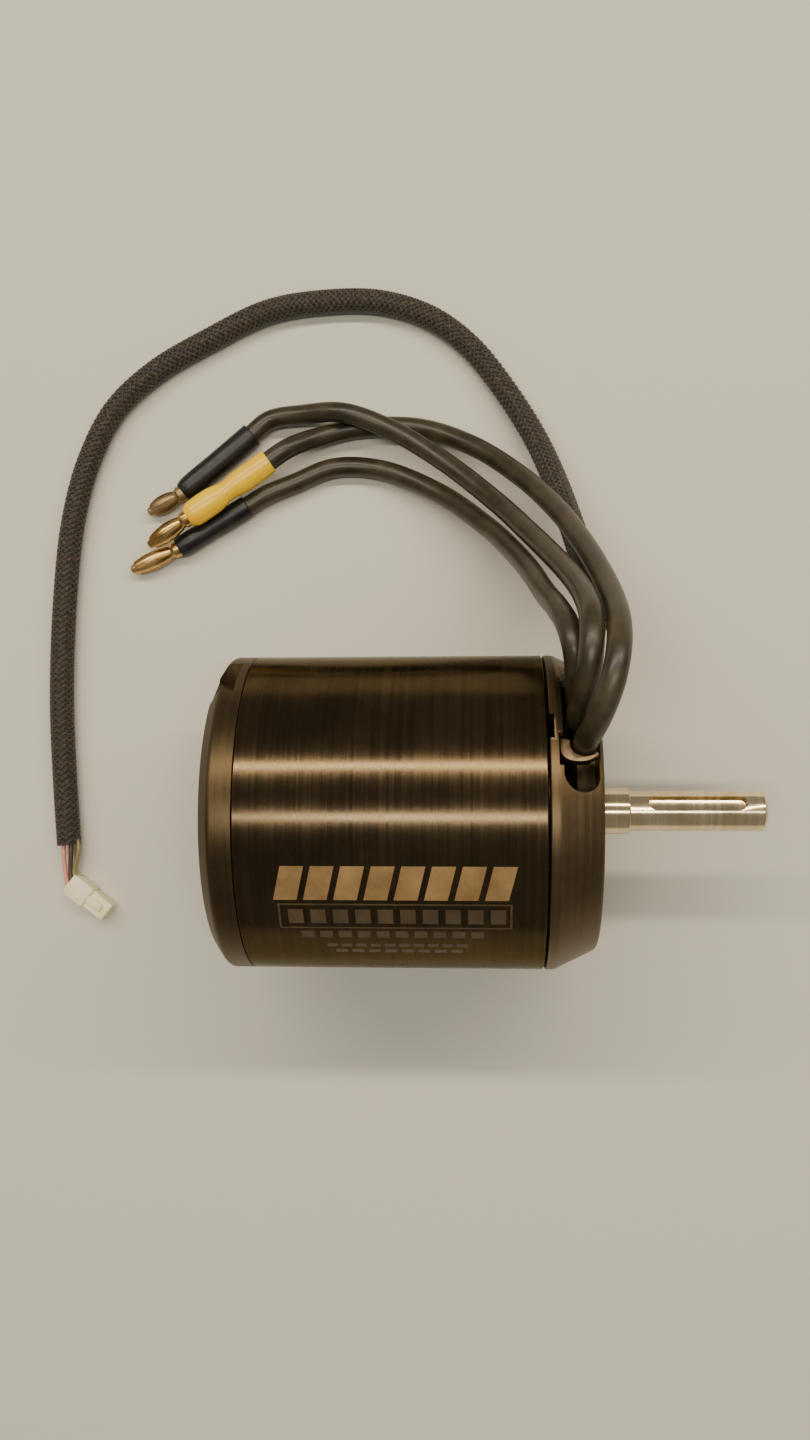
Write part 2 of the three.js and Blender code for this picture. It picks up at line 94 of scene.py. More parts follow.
# ---------------------------------------------------------------- node materials
class Nodes:
    """A material with a Principled shader and short calls for the nodes that feed it."""

    def __init__(self, name):
        self.mat = bpy.data.materials.new(name)
        self.mat.use_nodes = True
        self.tree = self.mat.node_tree
        self.shader = self.tree.nodes["Principled BSDF"]
        self.coords = self.tree.nodes.new("ShaderNodeTexCoord").outputs["Object"]

    def set(self, **values):
        for key, value in values.items():
            self.shader.inputs[key.replace("_", " ")].default_value = value
        return self

    def link(self, out, socket):
        self.tree.links.new(out, self.shader.inputs[socket])
        return self

    def node(self, kind, inputs=None, **props):
        n = self.tree.nodes.new(kind)
        for key, value in props.items():
            setattr(n, key, value)
        for key, value in (inputs or {}).items():
            if isinstance(value, bpy.types.NodeSocket):
                self.tree.links.new(value, n.inputs[key])
            else:
                n.inputs[key].default_value = value
        return n

    def scaled(self, x, y, z):
        return self.node("ShaderNodeMapping", {"Vector": self.coords, "Scale": (x, y, z)}).outputs["Vector"]

    def noise(self, scale, detail=4, rough=0.55, vector=None):
        return self.node(
            "ShaderNodeTexNoise",
            {"Vector": vector or self.coords, "Scale": scale, "Detail": detail, "Roughness": rough},
        ).outputs["Fac"]

    def ramp(self, fac, stops):
        n = self.node("ShaderNodeValToRGB", {"Fac": fac})
        ramp = n.color_ramp
        while len(ramp.elements) < len(stops):
            ramp.elements.new(0.5)
        for element, (place, colour) in zip(ramp.elements, stops):
            element.position = place
            element.color = (*colour, 1) if len(colour) == 3 else colour
        return n.outputs["Color"]

    def span(self, value, lo, hi, from_lo=0.0, from_hi=1.0):
        return self.node(
            "ShaderNodeMapRange",
            {"Value": value, "From Min": from_lo, "From Max": from_hi, "To Min": lo, "To Max": hi},
        ).outputs["Result"]

    def math(self, kind, a, b=0.0):
        n = self.node("ShaderNodeMath", operation=kind)
        for i, value in enumerate((a, b)):
            if isinstance(value, bpy.types.NodeSocket):
                self.tree.links.new(value, n.inputs[i])
            else:
                n.inputs[i].default_value = value
        return n.outputs[0]

    def mix(self, fac, a, b):
        n = self.node("ShaderNodeMix", data_type="RGBA")
        for key, value in ((0, fac), (6, a), (7, b)):
            if isinstance(value, bpy.types.NodeSocket):
                self.tree.links.new(value, n.inputs[key])
            else:
                n.inputs[key].default_value = (*value, 1) if isinstance(value, tuple) else value
        return n.outputs[2]

    def bump(self, height, strength=0.3, distance=0.0002, normal=None):
        inputs = {"Height": height, "Strength": strength, "Distance": distance}
        if normal is not None:
            inputs["Normal"] = normal
        return self.node("ShaderNodeBump", inputs).outputs["Normal"]


def srgb(r, g, b):
    """Linear colour from 0-255 display values."""
    def one(v):
        v /= 255
        return v / 12.92 if v <= 0.04045 else ((v + 0.055) / 1.055) ** 2.4
    return (one(r), one(g), one(b))


def metal(name, dark, light, rough, metallic=1.0, grain=(1100, 14, 14), grain_depth=0.00002, spots=0.0,
          turned=0.0, edge=None):
    """Machined or anodised metal: fine turning marks round the axis, cloudy tone, a little dust."""
    n = Nodes(name)
    clouds = n.noise(90, 5, 0.6)
    streak = n.noise(1.0, 3, 0.7, n.scaled(*grain))
    tone = n.math("MULTIPLY", clouds, streak)
    colour = n.ramp(tone, [(0.12, dark), (0.42, light)])
    dust = n.ramp(n.noise(2600, 2, 0.7), [(0.60, (0, 0, 0)), (0.72, (1, 1, 1))])
    if spots:
        colour = n.mix(n.math("MULTIPLY", dust, spots), colour, srgb(190, 172, 138))
    n.link(colour, "Base Color")
    n.link(n.span(n.math("ADD", streak, clouds), rough - 0.07, rough + 0.09, 0.6, 1.4), "Roughness")
    n.link(n.bump(streak, 0.35, grain_depth, n.bump(n.noise(1500, 3), 0.12, 0.00002)), "Normal")
    n.set(Metallic=metallic)
    if turned:
        tangent = n.node("ShaderNodeTangent", direction_type="RADIAL", axis="X").outputs["Tangent"]
        n.link(tangent, "Tangent")
        n.set(Anisotropic=turned, Anisotropic_Rotation=0.25)
    if edge:
        n.set(Specular_Tint=(*edge, 1))
    return n.mat


def plastic(name, dark, light, rough, bump_scale=900, subsurface=0.0):
    """Rubber, shrink tube or moulded plastic: cloudy tone with a fine grain."""
    n = Nodes(name)
    clouds = n.noise(140, 4, 0.6)
    fine = n.noise(bump_scale, 3, 0.6)
    n.link(n.ramp(clouds, [(0.35, dark), (0.68, light)]), "Base Color")
    n.link(n.span(n.math("ADD", clouds, fine), rough - 0.08, rough + 0.1, 0.6, 1.4), "Roughness")
    n.link(n.bump(fine, 0.3, 0.00003), "Normal")
    if subsurface:
        n.set(Subsurface_Weight=subsurface, Subsurface_Scale=0.002)
    return n.mat


MAT = {
    "can": metal("can_black", srgb(68, 57, 42), srgb(90, 75, 54), 0.255, 0.96, spots=0.04, turned=0.85,
                 edge=(0.6, 0.57, 0.5), grain_depth=0.00001),
    "bell": metal("bell_bronze", srgb(75, 62, 44), srgb(98, 82, 58), 0.44, 0.95, spots=0.04, turned=0.5),
    "mount": metal("mount_bronze", srgb(87, 72, 52), srgb(112, 94, 68), 0.42, 0.95, spots=0.04, turned=0.5),
    "bare": metal("bare_metal", srgb(102, 85, 66), srgb(148, 126, 101), 0.4, grain=(500, 500, 500)),
    "steel": metal("steel", srgb(214, 190, 146), srgb(254, 238, 200), 0.2, turned=0.7, grain_depth=0.000008),
    "black_steel": metal("black_steel", srgb(26, 24, 22), srgb(54, 50, 46), 0.38),
    "race": metal("race", srgb(170, 168, 164), srgb(220, 218, 212), 0.16),
    "magnet": metal("magnet", srgb(165, 168, 172), srgb(208, 210, 214), 0.26, grain=(300, 300, 300)),
    "print": plastic("print_tan", srgb(126, 98, 60), srgb(158, 126, 80), 0.4),
    "print_dim": plastic("print_dim", srgb(66, 51, 32), srgb(86, 68, 42), 0.42),
    "epoxy": plastic("epoxy", srgb(30, 70, 46), srgb(46, 98, 64), 0.4, 400),
    "board": plastic("board", srgb(18, 70, 38), srgb(28, 96, 54), 0.42, 500),
    "sensor_black": plastic("sensor_black", srgb(18, 18, 18), srgb(34, 34, 34), 0.55, 1800),
    "silicone": plastic("silicone", srgb(40, 35, 23), srgb(68, 60, 41), 0.36, 1100),
    "shrink": plastic("black_shrink", srgb(17, 16, 18), srgb(30, 28, 30), 0.42, 700),
    "yellow": plastic("yellow_shrink", srgb(255, 196, 0), srgb(255, 214, 10), 0.26, 600),
    "gold": metal("gold", srgb(178, 140, 80), srgb(236, 200, 132), 0.28, grain=(200, 200, 200)),
    "dull_gold": metal("dull_gold", srgb(132, 110, 76), srgb(178, 152, 108), 0.42, 0.85, grain=(200, 200, 200)),
    "connector": plastic("connector_white", srgb(255, 238, 190), srgb(255, 248, 208), 0.36, 700, subsurface=0.1),
    "lead_pink": plastic("lead_pink", srgb(206, 128, 112), srgb(232, 158, 142), 0.42),
    "lead_red": plastic("lead_red", srgb(176, 98, 78), srgb(206, 126, 100), 0.42),
    "lead_brown": plastic("lead_brown", srgb(60, 50, 38), srgb(84, 72, 54), 0.42),
    "lead_tan": plastic("lead_tan", srgb(160, 132, 92), srgb(188, 160, 118), 0.42),
    "lead_olive": plastic("lead_olive", srgb(112, 104, 66), srgb(144, 136, 92), 0.42),
}


def copper_material():
    n = Nodes("copper")
    clouds = n.noise(160, 4, 0.6)
    n.link(n.ramp(clouds, [(0.35, srgb(120, 56, 22)), (0.7, srgb(196, 104, 50))]), "Base Color")
    n.link(n.span(clouds, 0.22, 0.38), "Roughness")
    n.link(n.bump(n.noise(900, 2), 0.2, 0.00003), "Normal")
    n.set(Metallic=0.9, Coat_Weight=0.5, Coat_Roughness=0.15)
    return n.mat


def braid_material():
    n = Nodes("braid")
    speck = n.noise(900, 3, 0.7)
    stops = [(0.38, srgb(22, 17, 9)), (0.60, srgb(54, 44, 27)), (0.76, srgb(98, 83, 56))]
    n.link(n.ramp(speck, stops), "Base Color")
    n.link(n.span(speck, 0.4, 0.62), "Roughness")
    n.link(n.bump(n.noise(5200, 2), 0.4, 0.00003), "Normal")
    n.set(Sheen_Weight=0.3, Sheen_Roughness=0.5)
    return n.mat


MAT["copper"] = copper_material()
MAT["braid"] = braid_material()


# ---------------------------------------------------------------- mesh helpers, points in mm
def mesh_piece(name, verts, faces, material, sharp=35):
    data = bpy.data.meshes.new(name)
    points = (np.asarray(verts, dtype=float) * MM).tolist()
    data.from_pydata(points, [], [list(map(int, f)) for f in faces])
    data.validate()
    data.update()
    obj = bpy.data.objects.new(name, data)
    bpy.context.scene.collection.objects.link(obj)
    if material is not None:
        data.materials.append(material)
    tidy(data, sharp)
    return obj


def tidy(data, sharp=35):
    bm = bmesh.new()
    bm.from_mesh(data)
    bmesh.ops.remove_doubles(bm, verts=bm.verts, dist=1e-7)
    bmesh.ops.recalc_face_normals(bm, faces=bm.faces)
    bm.to_mesh(data)
    bm.free()
    data.shade_smooth()
    data.set_sharp_from_angle(angle=math.radians(sharp))


def fillet(profile, radius, steps=3, closed=True):
    """Rounds the corners of a (radius, x) profile."""
    points = [Vector(p) for p in profile]
    made = []
    count = len(points)
    for i, here in enumerate(points):
        if not closed and i in (0, count - 1):
            made.append(tuple(here))
            continue
        a, b = points[i - 1], points[(i + 1) % count]
        to_a, to_b = a - here, b - here
        reach = min(radius, to_a.length * 0.45, to_b.length * 0.45)
        if reach < 0.02 or to_a.angle(to_b) > math.radians(172):
            made.append(tuple(here))
            continue
        start, end = here + to_a.normalized() * reach, here + to_b.normalized() * reach
        for k in range(steps + 1):
            t = k / steps
            made.append(tuple(start * (1 - t) ** 2 + here * 2 * t * (1 - t) + end * t ** 2))
    return made


def revolve(name, profile, material, segments=160, closed=True, sharp=35):
    """Turns a (radius, x) profile about the motor axis. An open profile has its ends on the axis."""
    verts, rings = [], []
    for r, x in profile:
        if r < 1e-6:
            rings.append([len(verts)])
            verts.append((x, 0, AXIS_Z))
            continue
        rings.append(list(range(len(verts), len(verts) + segments)))
        for k in range(segments):
            a = TAU * k / segments
            verts.append((x, r * math.sin(a), AXIS_Z + r * math.cos(a)))
    faces = []
    pairs = len(rings) if closed else len(rings) - 1
    for i in range(pairs):
        a, b = rings[i], rings[(i + 1) % len(rings)]
        for k in range(segments):
            n = (k + 1) % segments
            quad = [a[k % len(a)], a[n % len(a)], b[n % len(b)], b[k % len(b)]]
            faces.append(list(dict.fromkeys(quad)))
    return mesh_piece(name, verts, faces, material, sharp)


def around(points, angle):
    """Turns points made at the top of the motor towards +Y by angle degrees, about the motor axis."""
    c, s = math.cos(math.radians(angle)), math.sin(math.radians(angle))
    return [(x, y * c + z * s, AXIS_Z - y * s + z * c) for x, y, z in points]


def prism(outline, start, end, axis="x"):
    """A flat outline pushed along an axis. x: outline is (y, z); z: outline is (x, y)."""
    n = len(outline)
    place = {"x": lambda p, h: (h, p[0], p[1]), "z": lambda p, h: (p[0], p[1], h)}[axis]
    verts = [place(p, start) for p in outline] + [place(p, end) for p in outline]
    faces = [list(range(n)), list(range(2 * n - 1, n - 1, -1))]
    faces += [[i, (i + 1) % n, n + (i + 1) % n, n + i] for i in range(n)]
    return verts, faces


def cutter(verts, faces, angle):
    return mesh_piece("cutter", around(verts, angle), faces, None)


def polar(r, degrees):
    return (r * math.sin(math.radians(degrees)), r * math.cos(math.radians(degrees)))


def arc(r, a, b, steps):
    return [polar(r, a + (b - a) * i / steps) for i in range(steps + 1)]


def carve(obj, cutters, bevel=0.15, sharp=32):
    """Cuts all the cutters out of obj, breaks its edges with a small bevel, and applies both."""
    for tool in cutters:
        mod = obj.modifiers.new("cut", "BOOLEAN")
        mod.operation = "DIFFERENCE"
        mod.solver = "EXACT"
        mod.object = tool
    if bevel:
        mod = obj.modifiers.new("bevel", "BEVEL")
        mod.width = bevel * MM
        mod.segments = 2
        mod.limit_method = "ANGLE"
        mod.angle_limit = math.radians(38)
    graph = bpy.context.evaluated_depsgraph_get()
    made = bpy.data.meshes.new_from_object(obj.evaluated_get(graph))
    obj.modifiers.clear()
    old = obj.data
    obj.data = made
    bpy.data.meshes.remove(old)
    for tool in cutters:
        data = tool.data
        bpy.data.objects.remove(tool)
        bpy.data.meshes.remove(data)
    made.shade_smooth()
    made.set_sharp_from_angle(angle=math.radians(sharp))
    return obj


def stands_for(obj, body, slot, *nodes):
    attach(obj, body)
    if nodes:
        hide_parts(*nodes)
    return obj


def smooth_path(points, step):
    """Centripetal Catmull-Rom through the points, sampled about every step mm."""
    p = np.asarray(points, dtype=float)
    ext = np.vstack([2 * p[0] - p[1], p, 2 * p[-1] - p[-2]])
    knots = np.concatenate([[0], np.cumsum(np.sqrt(np.linalg.norm(np.diff(ext, axis=0), axis=1)))])
    out = []
    for i in range(1, len(ext) - 2):
        p0, p1, p2, p3 = ext[i - 1:i + 3]
        t0, t1, t2, t3 = knots[i - 1:i + 3]
        count = max(2, int(round(np.linalg.norm(p2 - p1) / step)))
        for t in np.linspace(t1, t2, count, endpoint=False):
            a1 = (t1 - t) / (t1 - t0) * p0 + (t - t0) / (t1 - t0) * p1
            a2 = (t2 - t) / (t2 - t1) * p1 + (t - t1) / (t2 - t1) * p2
            a3 = (t3 - t) / (t3 - t2) * p2 + (t - t2) / (t3 - t2) * p3
            b1 = (t2 - t) / (t2 - t0) * a1 + (t - t0) / (t2 - t0) * a2
            b2 = (t3 - t) / (t3 - t1) * a2 + (t - t1) / (t3 - t1) * a3
            out.append((t2 - t) / (t2 - t1) * b1 + (t - t1) / (t2 - t1) * b2)
    out.append(p[-1])
    return np.asarray(out)


def frames_along(path):
    """Tangents and two normals that don't twist along the path."""
    tangent = np.gradient(path, axis=0)
    tangent /= np.linalg.norm(tangent, axis=1)[:, None]
    side = np.zeros_like(path)
    first = np.cross(tangent[0], [0, 0, 1.0])
    if np.linalg.norm(first) < 0.1:
        first = np.cross(tangent[0], [1.0, 0, 0])
    side[0] = first / np.linalg.norm(first)
    for i in range(1, len(path)):
        v = side[i - 1] - tangent[i] * np.dot(side[i - 1], tangent[i])
        side[i] = v / np.linalg.norm(v)
    return tangent, side, np.cross(tangent, side)


def tube_mesh(path, radii, sides=20):
    """Vertices and faces of a capped tube. radii is one number or one for each point."""
    _, u, v = frames_along(path)
    radii = np.broadcast_to(np.asarray(radii, dtype=float), (len(path),))
    angles = np.arange(sides) * TAU / sides
    ring = np.cos(angles)[None, :, None] * u[:, None, :] + np.sin(angles)[None, :, None] * v[:, None, :]
    verts = (path[:, None, :] + ring * radii[:, None, None]).reshape(-1, 3)
    faces = []
    for i in range(len(path) - 1):
        for k in range(sides):
            n = (k + 1) % sides
            faces.append([i * sides + k, i * sides + n, (i + 1) * sides + n, (i + 1) * sides + k])
    last = (len(path) - 1) * sides
    faces.append(list(range(sides))[::-1])
    faces.append(list(range(last, last + sides)))
    return verts, faces


def joined(parts):
    """One vertex and face list from several."""
    verts, faces = [], []
    for v, f in parts:
        base = sum(len(x) for x in verts)
        verts.append(np.asarray(v, dtype=float))
        faces.extend([[i + base for i in face] for face in f])
    return np.vstack(verts), faces


# ---------------------------------------------------------------- cables, the routes repeated from the frame's tubes
HALL_D = 5.4
PHASE_D = 4.6
LEAD_D = 1.0
HALL_ROUTE = [
    (15.4, 23.8, 46.5), (15.8, 26.5, 48.3), (16.8, 29.9, 50.2), (18.2, 34, 50), (19.3, 38, 47),
    (19.8, 42, 42), (19.5, 46.6, 35.4), (18.5, 53.2, 27.2), (16.7, 62.6, 18.6), (14, 73.2, 11.8),
    (9.8, 84.6, 6.8), (3.2, 96.5, 4.2), (-5, 107.5, 3.1), (-14, 114.5, 3), (-25.5, 118.5, 3),
    (-38, 119, 3), (-52, 117, 3), (-66, 110.5, 3), (-79, 103, 3), (-88.5, 94, 3), (-94.5, 82, 3),
    (-98, 68, 3), (-99.7, 49, 3), (-100, 25.5, 3), (-98.9, 7, 3), (-97.6, -8.2, 3),
]
PHASES = [
    {
        "route": [
            (15.2, 16.7, 53.9), (15.5, 18.8, 56.8), (16.2, 22, 60.2), (16.8, 26.2, 62.8), (17.2, 30.8, 63.1),
            (17.3, 35.2, 60.9), (16.9, 39, 56.2), (15.7, 43.6, 48.6), (12.6, 50.2, 38), (7, 59, 26.2),
            (1.2, 66.8, 17.6), (-11.5, 78.8, 10.6), (-24, 87, 8.3), (-34, 90.8, 7.7), (-43.5, 91.6, 4.4),
        ],
        "sleeve": (-55.7, 87.5, 3.1), "plug": (-72, 73.9, 3.1), "tip": (-80.3, 69.4, 2.4),
        "radii": (2.8, 2.8, 2.9), "finish": "shrink", "slot": "black_shrink", "metal": "dull_gold",
    },
    {
        "route": [
            (16.2, 11.4, 55.3), (16.4, 13, 58.7), (17.5, 15.2, 62.2), (18.9, 18.5, 65.4), (20.4, 23, 67.2),
            (21.5, 28.2, 66.4), (22.1, 33.2, 62.6), (22, 38.4, 56), (20.8, 45.2, 46.8), (18.1, 53.8, 36),
            (13.6, 63.4, 25.2), (5.8, 74, 14.4), (-4.8, 83, 7), (-17, 88.3, 3.1), (-31.5, 88.5, 2.8),
            (-41, 85.8, 4.6),
        ],
        "sleeve": (-51, 79.9, 7.2), "plug": (-69.8, 67, 7.2), "tip": (-79.2, 61, 5.6),
        "radii": (2.8, 2.3, 3.1), "finish": "yellow", "slot": "yellow_shrink", "metal": "gold",
    },
    {
        "route": [
            (15.4, 20.4, 50.6), (15.4, 22.8, 53), (15.1, 26, 55.8), (14.5, 30, 57.4), (13.5, 34.2, 55.8),
            (12, 38.3, 50.4), (10.1, 42.6, 42.4), (7.5, 48.8, 33.6), (4, 55.2, 24.2), (-0.8, 61.8, 15.8),
            (-12, 72, 6.8), (-25.5, 78.6, 3), (-36.5, 79.4, 2.5), (-46, 75.8, 2.5),
        ],
        "sleeve": (-56.6, 70.6, 2.8), "plug": (-72.9, 60.8, 2.8), "tip": (-84.1, 55.8, 2.4),
        "radii": (2.6, 2.4, 2.6), "finish": "shrink", "slot": "black_shrink", "metal": "gold",
    },
]


def metres(p):
    return tuple(float(v) * MM for v in p)


def cord_curve(name, path, diameter, material):
    data = bpy.data.curves.new(name, "CURVE")
    data.dimensions = "3D"
    data.bevel_depth = diameter / 2 * MM
    data.bevel_resolution = 7
    data.use_fill_caps = True
    spline = data.splines.new("POLY")
    spline.points.add(len(path) - 1)
    for point, place in zip(spline.points, path):
        point.co = (*metres(place), 1)
    spline.use_smooth = True
    data.materials.append(material)
    obj = bpy.data.objects.new(name, data)
    bpy.context.scene.collection.objects.link(obj)
    return obj


def braided_sleeve(route, radius, carriers=11, pitch=15.0, swing=0.16):
    """A dark core with ribbons wound both ways round it, each passing over and under the others."""
    core = tube_mesh(smooth_path(route, 1.5), radius - 0.3, 14)
    dense = smooth_path(route, 0.4)
    _, u, v = frames_along(dense)
    along = np.concatenate([[0], np.cumsum(np.linalg.norm(np.diff(dense, axis=0), axis=1))])
    weave = np.cos(TAU * carriers * along / pitch)
    half = 0.62 * TAU / carriers / 2
    section = [(-1.0, -0.12), (-0.55, 0.05), (0.0, 0.1), (0.55, 0.05), (1.0, -0.12), (0.0, -0.2)]
    parts = [core]
    for way in (1, -1):
        for k in range(carriers):
            angle = way * TAU * along / pitch + TAU * k / carriers
            rows = []
            for across, lift in section:
                a = angle + across * half
                r = radius - 0.08 + way * swing * weave + lift
                rows.append(dense + (np.cos(a) * r)[:, None] * u + (np.sin(a) * r)[:, None] * v)
            verts = np.stack(rows, axis=1).reshape(-1, 3)
            m = len(section)
            faces = []
            for i in range(len(dense) - 1):
                for j in range(m):
                    n = (j + 1) % m
                    faces.append([i * m + j, i * m + n, (i + 1) * m + n, (i + 1) * m + j])
            last = (len(dense) - 1) * m
            faces.append(list(range(m))[::-1])
            faces.append(list(range(last, last + m)))
            parts.append((verts, faces))
    return joined(parts)


def turned_mesh(profile, start, end, segments=40):
    """A (radius, along) profile turned about the line from start to end. Both ends are on that line."""
    start, end = np.asarray(start, float), np.asarray(end, float)
    line = (end - start) / np.linalg.norm(end - start)
    side = np.cross(line, [0, 0, 1.0] if abs(line[2]) < 0.9 else [1.0, 0, 0])
    side /= np.linalg.norm(side)
    up = np.cross(side, line)
    verts, rings = [], []
    for r, a in profile:
        if r < 1e-6:
            rings.append([len(verts)])
            verts.append(start + line * a)
            continue
        rings.append(list(range(len(verts), len(verts) + segments)))
        for k in range(segments):
            t = TAU * k / segments
            verts.append(start + line * a + r * (math.cos(t) * side + math.sin(t) * up))
    faces = []
    for a, b in zip(rings, rings[1:]):
        for k in range(segments):
            n = (k + 1) % segments
            quad = [a[k % len(a)], a[n % len(a)], b[n % len(b)], b[k % len(b)]]
            faces.append(list(dict.fromkeys(quad)))
    return verts, faces


def ease(profile, radius, steps=4):
    return fillet(profile, radius, steps, closed=False)


phase_pieces = []
for number, phase in enumerate(PHASES, 1):
    sleeve_at, plug_at, tip_at = (np.asarray(phase[k], float) for k in ("sleeve", "plug", "tip"))
    run = (plug_at - sleeve_at) / np.linalg.norm(plug_at - sleeve_at)
    length = float(np.linalg.norm(plug_at - sleeve_at))
    path = smooth_path([*phase["route"], tuple(sleeve_at - run * 5), tuple(sleeve_at + run * 1.2)], 1.2)
    wire = cord_curve(f"phase_wire_skin_{number}", path, PHASE_D, MAT["silicone"])
    stands_for(wire, "stator", "silicone", f"phase_wire_{number}")

    head, neck, tail = phase["radii"]
    outer = [
        (head - 0.35, 0), (head, 0.15), (head, length * 0.38), (neck, length * 0.53), (tail * 0.98, length * 0.66),
        (tail, length * 0.8), (tail * 0.97, length - 1.4), (2.35, length - 0.1), (2.2, length),
    ]
    inner = [(2.0, length - 0.05), (2.0, length - 1.2), (0, length - 1.2)]
    profile = ease([(0, 1.0), (2.25, 1.0), (2.25, 0.05), *outer, *inner], 1.6, 5)
    sleeve_mesh = turned_mesh(profile, sleeve_at, plug_at, 56)
    shifted = np.asarray(sleeve_mesh[0])
    rng = np.random.default_rng(10 + number)
    wobble = rng.normal(size=(4, 3))
    offset = shifted - sleeve_at
    depth = sum(np.sin(offset @ w * 0.5 + i) for i, w in enumerate(wobble)) * 0.035
    centre = sleeve_at + np.outer(offset @ run, run)
    radial = shifted - centre
    size = np.linalg.norm(radial, axis=1)[:, None]
    shifted = shifted + np.where(size > 2.3, radial / np.maximum(size, 1e-6) * depth[:, None], 0)
    sleeve = mesh_piece(f"shrink_skin_{number}", shifted, sleeve_mesh[1], MAT[phase["finish"]], 50)
    stands_for(sleeve, "stator", phase["slot"], f"shrink_sleeve_{number}")

    reach = float(np.linalg.norm(tip_at - plug_at))
    out = (tip_at - plug_at) / reach
    base_profile = ease([(0, -1.1), (1.95, -1.1), (1.95, 1.2), (1.55, 1.5), (1.5, 2.1), (0, 2.1)], 0.25, 3)
    body = turned_mesh(base_profile, plug_at, tip_at, 48)
    tip = [(1.25, reach - 1.6), (1.0, reach - 0.3), (0.75, reach), (0, reach)]
    core = turned_mesh(ease([(0, 1.8), (1.25, 1.8), *tip], 0.4, 4),
                       plug_at, tip_at, 32)
    leaves = []
    side = np.cross(out, [0, 0, 1.0])
    side /= np.linalg.norm(side)
    up = np.cross(side, out)
    for leaf in range(6):
        centre_angle = TAU * leaf / 6 + 0.3
        grid = []
        for s in np.linspace(0, 1, 15):
            along = 1.9 + s * (reach - 3.1)
            bulge = 1.5 + 0.68 * math.sin(math.pi * s) ** 0.8
            row = []
            for w in np.linspace(-0.42, 0.42, 7):
                a = centre_angle + w
                row.append((a, bulge, along))
            grid.append(row)
        verts = []
        for thick in (0.0, -0.22):
            for row in grid:
                for a, r, along in row:
                    rr = r + thick
                    verts.append(plug_at + out * along + rr * (math.cos(a) * side + math.sin(a) * up))
        faces = []
        rows, cols = len(grid), len(grid[0])
        for layer in (0, 1):
            base = layer * rows * cols
            for i in range(rows - 1):
                for j in range(cols - 1):
                    faces.append([base + i * cols + j, base + i * cols + j + 1,
                                  base + (i + 1) * cols + j + 1, base + (i + 1) * cols + j])
        ring = ([j for j in range(cols)] + [i * cols + cols - 1 for i in range(1, rows)]
                + [(rows - 1) * cols + j for j in range(cols - 2, -1, -1)]
                + [i * cols for i in range(rows - 2, 0, -1)])
        gap = rows * cols
        for a, b in zip(ring, ring[1:] + ring[:1]):
            faces.append([a, b, b + gap, a + gap])
        leaves.append((verts, faces))
    plug_mesh = joined([body, core, *leaves])
    plug = mesh_piece(f"bullet_skin_{number}", *plug_mesh, MAT[phase["metal"]], 40)
    stands_for(plug, "stator", "gold", f"bullet_plug_{number}")
    phase_pieces.append((wire, sleeve, plug))

sleeve_verts, sleeve_faces = braided_sleeve(HALL_ROUTE, HALL_D / 2)
hall = mesh_piece("hall_sleeve_braid", sleeve_verts, sleeve_faces, MAT["braid"], 60)
stands_for(hall, "stator", "braid", "hall_sleeve")

# ---------------------------------------------------------------- Hall leads and their connector
HOUSING = np.array([-92.4, -20.5, 2.5])
HOUSING_TURN = math.radians(-38)
HOUSING_END = 5.2


def housing_place(x, y, z):
    c, s = math.cos(HOUSING_TURN), math.sin(HOUSING_TURN)
    return (HOUSING[0] + x * c - y * s, HOUSING[1] + x * s + y * c, HOUSING[2] + z)


LEAD_STARTS = [(-98.6, -8.9, 4), (-97.7, -8.9, 1.9), (-96.8, -8.9, 4), (-95.9, -8.9, 1.9), (-95, -8.9, 4)]
LEAD_SEATS = [(-1.7, 0.65), (-1, -0.65), (-0.3, 0.65), (0.4, -0.65), (1.1, 0.65)]
LEAD_FINISHES = ["lead_pink", "lead_red", "lead_brown", "lead_tan", "lead_olive"]
for i, (start, (across, up), finish) in enumerate(zip(LEAD_STARTS, LEAD_SEATS, LEAD_FINISHES)):
    inside = (-97.6 + (start[0] + 97.6) * 0.6, -5.8, 3 + (start[2] - 3) * 0.6)
    route = [inside, start, housing_place(-HOUSING_END - 1.6, across + 1.4, up),
             housing_place(-HOUSING_END + 0.4, across, up)]
    lead = mesh_piece(f"hall_lead_skin_{i + 1}", *tube_mesh(smooth_path(route, 0.5), LEAD_D / 2, 16), MAT[finish])
    stands_for(lead, "stator", finish, f"hall_lead_{i + 1}")


def box_mesh(x0, x1, y0, y1, z0, z1):
    verts = [(x, y, z) for x in (x0, x1) for y in (y0, y1) for z in (z0, z1)]
    faces = [(0, 1, 3, 2), (4, 6, 7, 5), (0, 4, 5, 1), (2, 3, 7, 6), (0, 2, 6, 4), (1, 5, 7, 3)]
    return verts, faces


def bevelled(obj, width, segments=2):
    mod = obj.modifiers.new("bevel", "BEVEL")
    mod.width = width * MM
    mod.segments = segments
    mod.limit_method = "ANGLE"
    mod.angle_limit = math.radians(35)
    graph = bpy.context.evaluated_depsgraph_get()
    made = bpy.data.meshes.new_from_object(obj.evaluated_get(graph))
    obj.modifiers.clear()
    old = obj.data
    obj.data = made
    bpy.data.meshes.remove(old)
    made.shade_smooth()
    made.set_sharp_from_angle(angle=math.radians(32))
    return obj


